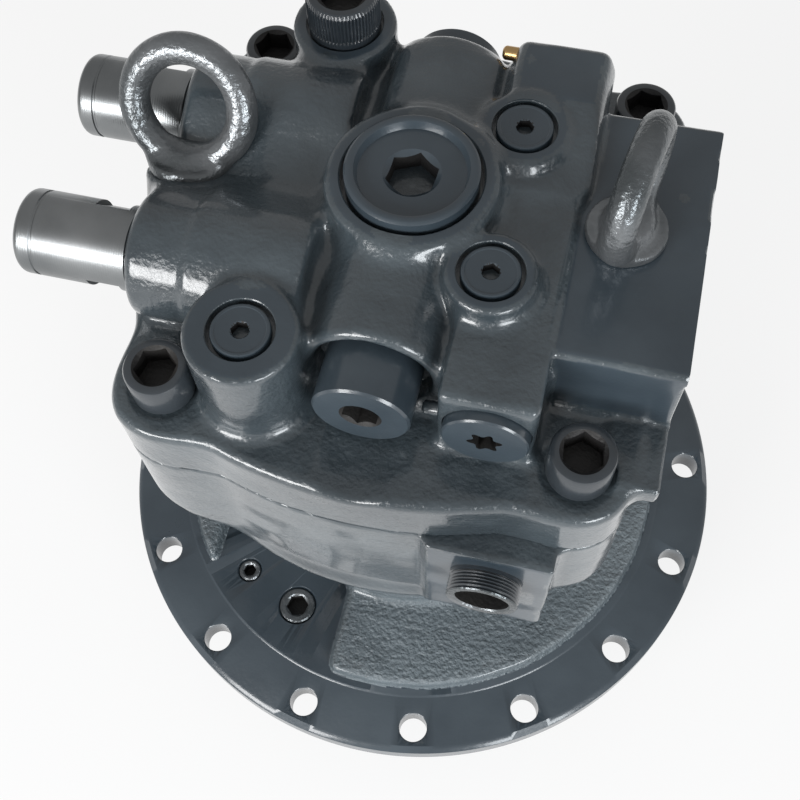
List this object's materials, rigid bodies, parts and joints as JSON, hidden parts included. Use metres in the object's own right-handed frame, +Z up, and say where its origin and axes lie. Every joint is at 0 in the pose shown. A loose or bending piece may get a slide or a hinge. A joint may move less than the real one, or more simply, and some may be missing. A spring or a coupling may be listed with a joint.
{
  "type": "hydraulic swing motor",
  "caption": "Axial piston swing motor with a drilled round flange, a square head, relief valves, lifting eyes and a splined output shaft.",
  "frame": {"origin": "centre of the mounting flange's underside", "axes": "+Z up the drive shaft's axis towards the valve casing, +X towards the port face, -Y towards the drain fitting"},
  "size_m": [0.316, 0.316, 0.36],
  "materials": {
    "blue_grey_paint": "gloss",
    "machined_steel": "satin",
    "hardened_steel": "satin",
    "spring_steel": "satin",
    "bronze": "satin",
    "cast_iron": "matte",
    "rubber": "matte",
    "friction_lining": "matte"
  },
  "bodies": {
    "housing": {"casing": "blue_grey_paint", "valve_casing": "blue_grey_paint", "casing_plugs": "blue_grey_paint", "drain_fitting": "blue_grey_paint", "shaft_seal": "rubber", "front_bearing_outer_race": "hardened_steel", "rear_bearing_race": "hardened_steel", "swash_plate": "hardened_steel", "valve_plate": "bronze", "separator_plates": "hardened_steel", "joint_seal": "rubber", "relief_sleeves": "machined_steel", "flush_plugs": "blue_grey_paint", "centre_plug": "blue_grey_paint", "knurled_screw": "blue_grey_paint", "bore_plugs": "blue_grey_paint", "bar_plugs": "blue_grey_paint", "main_bolts": "blue_grey_paint", "eye_bolts": "blue_grey_paint", "small_pins": "bronze", "brake_springs": "spring_steel", "relief_spring_front": "spring_steel", "relief_spring_rear": "spring_steel", "makeup_spring_front": "spring_steel", "makeup_spring_rear": "spring_steel"},
    "rotor": {"drive_shaft": "machined_steel", "front_bearing_inner_race": "hardened_steel", "cylinder_block": "cast_iron", "retainer_guide": "hardened_steel", "thrust_pins": "hardened_steel", "block_spring": "spring_steel", "friction_plates": "friction_lining"},
    "retainer": {"retainer_plate": "hardened_steel"},
    "front_cage": {"front_bearing_rollers": "hardened_steel"},
    "rear_cage": {"rear_bearing_rollers": "hardened_steel"},
    "shoe_1": {"shoe_1": "bronze"},
    "piston_1": {"piston_1": "hardened_steel"},
    "shoe_2": {"shoe_2": "bronze"},
    "piston_2": {"piston_2": "hardened_steel"},
    "shoe_3": {"shoe_3": "bronze"},
    "piston_3": {"piston_3": "hardened_steel"},
    "shoe_4": {"shoe_4": "bronze"},
    "piston_4": {"piston_4": "hardened_steel"},
    "shoe_5": {"shoe_5": "bronze"},
    "piston_5": {"piston_5": "hardened_steel"},
    "shoe_6": {"shoe_6": "bronze"},
    "piston_6": {"piston_6": "hardened_steel"},
    "shoe_7": {"shoe_7": "bronze"},
    "piston_7": {"piston_7": "hardened_steel"},
    "shoe_8": {"shoe_8": "bronze"},
    "piston_8": {"piston_8": "hardened_steel"},
    "shoe_9": {"shoe_9": "bronze"},
    "piston_9": {"piston_9": "hardened_steel"},
    "brake_piston": {"brake_piston": "cast_iron", "brake_seals": "rubber"},
    "shuttle_spool": {"shuttle_spool": "hardened_steel"},
    "relief_poppet_front": {"relief_poppet_front": "hardened_steel"},
    "makeup_poppet_front": {"makeup_poppet_front": "hardened_steel"},
    "relief_poppet_rear": {"relief_poppet_rear": "hardened_steel"},
    "makeup_poppet_rear": {"makeup_poppet_rear": "hardened_steel"}
  },
  "joints": [
    {"name": "shaft_spin", "type": "hinge", "parent": "housing", "child": "rotor", "pos_m": [0, 0, 0], "axis": [0, 0, 1], "continuous": true},
    {"name": "retainer_spin", "type": "hinge", "parent": "housing", "child": "retainer", "pos_m": [0, 0, 0.09598], "axis": [-0.2756, 0, 0.9613], "continuous": true},
    {"name": "front_cage_spin", "type": "hinge", "parent": "housing", "child": "front_cage", "pos_m": [0, 0, 0.0295], "axis": [0, 0, 1], "continuous": true},
    {"name": "rear_cage_spin", "type": "hinge", "parent": "housing", "child": "rear_cage", "pos_m": [0, 0, 0.205], "axis": [0, 0, 1], "continuous": true},
    {"name": "shoe_1_turn", "type": "hinge", "parent": "retainer", "child": "shoe_1", "pos_m": [0.04511, 0, 0.10892], "axis": [-0.2756, 0, 0.9613], "continuous": true},
    {"name": "piston_1_turn", "type": "hinge", "parent": "shoe_1", "child": "piston_1", "pos_m": [0.046, 0, 0.10917], "axis": [-0.2756, 0, 0.9613], "continuous": true},
    {"name": "shoe_2_turn", "type": "hinge", "parent": "retainer", "child": "shoe_2", "pos_m": [0.03456, 0.03016, 0.10589], "axis": [-0.2756, 0, 0.9613], "continuous": true},
    {"name": "piston_2_turn", "type": "hinge", "parent": "shoe_2", "child": "piston_2", "pos_m": [0.03524, 0.02957, 0.10609], "axis": [-0.2756, 0, 0.9613], "continuous": true},
    {"name": "shoe_3_turn", "type": "hinge", "parent": "retainer", "child": "shoe_3", "pos_m": [0.00783, 0.04621, 0.09823], "axis": [-0.2756, 0, 0.9613], "continuous": true},
    {"name": "piston_3_turn", "type": "hinge", "parent": "shoe_3", "child": "piston_3", "pos_m": [0.00799, 0.0453, 0.09827], "axis": [-0.2756, 0, 0.9613], "continuous": true},
    {"name": "shoe_4_turn", "type": "hinge", "parent": "retainer", "child": "shoe_4", "pos_m": [-0.02255, 0.04064, 0.08952], "axis": [-0.2756, 0, 0.9613], "continuous": true},
    {"name": "piston_4_turn", "type": "hinge", "parent": "shoe_4", "child": "piston_4", "pos_m": [-0.023, 0.03984, 0.08939], "axis": [-0.2756, 0, 0.9613], "continuous": true},
    {"name": "shoe_5_turn", "type": "hinge", "parent": "retainer", "child": "shoe_5", "pos_m": [-0.04239, 0.01605, 0.08383], "axis": [-0.2756, 0, 0.9613], "continuous": true},
    {"name": "piston_5_turn", "type": "hinge", "parent": "shoe_5", "child": "piston_5", "pos_m": [-0.04323, 0.01573, 0.08359], "axis": [-0.2756, 0, 0.9613], "continuous": true},
    {"name": "shoe_6_turn", "type": "hinge", "parent": "retainer", "child": "shoe_6", "pos_m": [-0.04239, -0.01605, 0.08383], "axis": [-0.2756, 0, 0.9613], "continuous": true},
    {"name": "piston_6_turn", "type": "hinge", "parent": "shoe_6", "child": "piston_6", "pos_m": [-0.04323, -0.01573, 0.08359], "axis": [-0.2756, 0, 0.9613], "continuous": true},
    {"name": "shoe_7_turn", "type": "hinge", "parent": "retainer", "child": "shoe_7", "pos_m": [-0.02255, -0.04064, 0.08952], "axis": [-0.2756, 0, 0.9613], "continuous": true},
    {"name": "piston_7_turn", "type": "hinge", "parent": "shoe_7", "child": "piston_7", "pos_m": [-0.023, -0.03984, 0.08939], "axis": [-0.2756, 0, 0.9613], "continuous": true},
    {"name": "shoe_8_turn", "type": "hinge", "parent": "retainer", "child": "shoe_8", "pos_m": [0.00783, -0.04621, 0.09823], "axis": [-0.2756, 0, 0.9613], "continuous": true},
    {"name": "piston_8_turn", "type": "hinge", "parent": "shoe_8", "child": "piston_8", "pos_m": [0.00799, -0.0453, 0.09827], "axis": [-0.2756, 0, 0.9613], "continuous": true},
    {"name": "shoe_9_turn", "type": "hinge", "parent": "retainer", "child": "shoe_9", "pos_m": [0.03456, -0.03016, 0.10589], "axis": [-0.2756, 0, 0.9613], "continuous": true},
    {"name": "piston_9_turn", "type": "hinge", "parent": "shoe_9", "child": "piston_9", "pos_m": [0.03524, -0.02957, 0.10609], "axis": [-0.2756, 0, 0.9613], "continuous": true},
    {"name": "brake_release", "type": "slide", "parent": "housing", "child": "brake_piston", "axis": [0, 0, 1], "range_m": [0, 0.0016], "deforming": ["brake_springs"]},
    {"name": "spool_shuttle", "type": "slide", "parent": "housing", "child": "shuttle_spool", "axis": [0, 1, 0], "range_m": [-0.002, 0.002]},
    {"name": "relief_lift_front", "type": "slide", "parent": "housing", "child": "relief_poppet_front", "axis": [-1, 0, 0], "range_m": [0, 0.003], "deforming": ["relief_spring_front"]},
    {"name": "makeup_lift_front", "type": "slide", "parent": "housing", "child": "makeup_poppet_front", "axis": [0, 0, 1], "range_m": [0, 0.003], "deforming": ["makeup_spring_front"]},
    {"name": "relief_lift_rear", "type": "slide", "parent": "housing", "child": "relief_poppet_rear", "axis": [-1, 0, 0], "range_m": [0, 0.003], "deforming": ["relief_spring_rear"]},
    {"name": "makeup_lift_rear", "type": "slide", "parent": "housing", "child": "makeup_poppet_rear", "axis": [0, 0, 1], "range_m": [0, 0.003], "deforming": ["makeup_spring_rear"]}
  ],
  "couplings": [
    {"joint": "retainer_spin", "follows": "shaft_spin", "ratio": 1},
    {"joint": "front_cage_spin", "follows": "shaft_spin", "ratio": 0.405},
    {"joint": "rear_cage_spin", "follows": "shaft_spin", "ratio": 0.41667},
    {"joint": "shoe_1_turn", "follows": "shaft_spin", "ratio": -2},
    {"joint": "piston_1_turn", "follows": "shaft_spin", "ratio": 1},
    {"joint": "shoe_2_turn", "follows": "shaft_spin", "ratio": -2},
    {"joint": "piston_2_turn", "follows": "shaft_spin", "ratio": 1},
    {"joint": "shoe_3_turn", "follows": "shaft_spin", "ratio": -2},
    {"joint": "piston_3_turn", "follows": "shaft_spin", "ratio": 1},
    {"joint": "shoe_4_turn", "follows": "shaft_spin", "ratio": -2},
    {"joint": "piston_4_turn", "follows": "shaft_spin", "ratio": 1},
    {"joint": "shoe_5_turn", "follows": "shaft_spin", "ratio": -2},
    {"joint": "piston_5_turn", "follows": "shaft_spin", "ratio": 1},
    {"joint": "shoe_6_turn", "follows": "shaft_spin", "ratio": -2},
    {"joint": "piston_6_turn", "follows": "shaft_spin", "ratio": 1},
    {"joint": "shoe_7_turn", "follows": "shaft_spin", "ratio": -2},
    {"joint": "piston_7_turn", "follows": "shaft_spin", "ratio": 1},
    {"joint": "shoe_8_turn", "follows": "shaft_spin", "ratio": -2},
    {"joint": "piston_8_turn", "follows": "shaft_spin", "ratio": 1},
    {"joint": "shoe_9_turn", "follows": "shaft_spin", "ratio": -2},
    {"joint": "piston_9_turn", "follows": "shaft_spin", "ratio": 1}
  ]
}
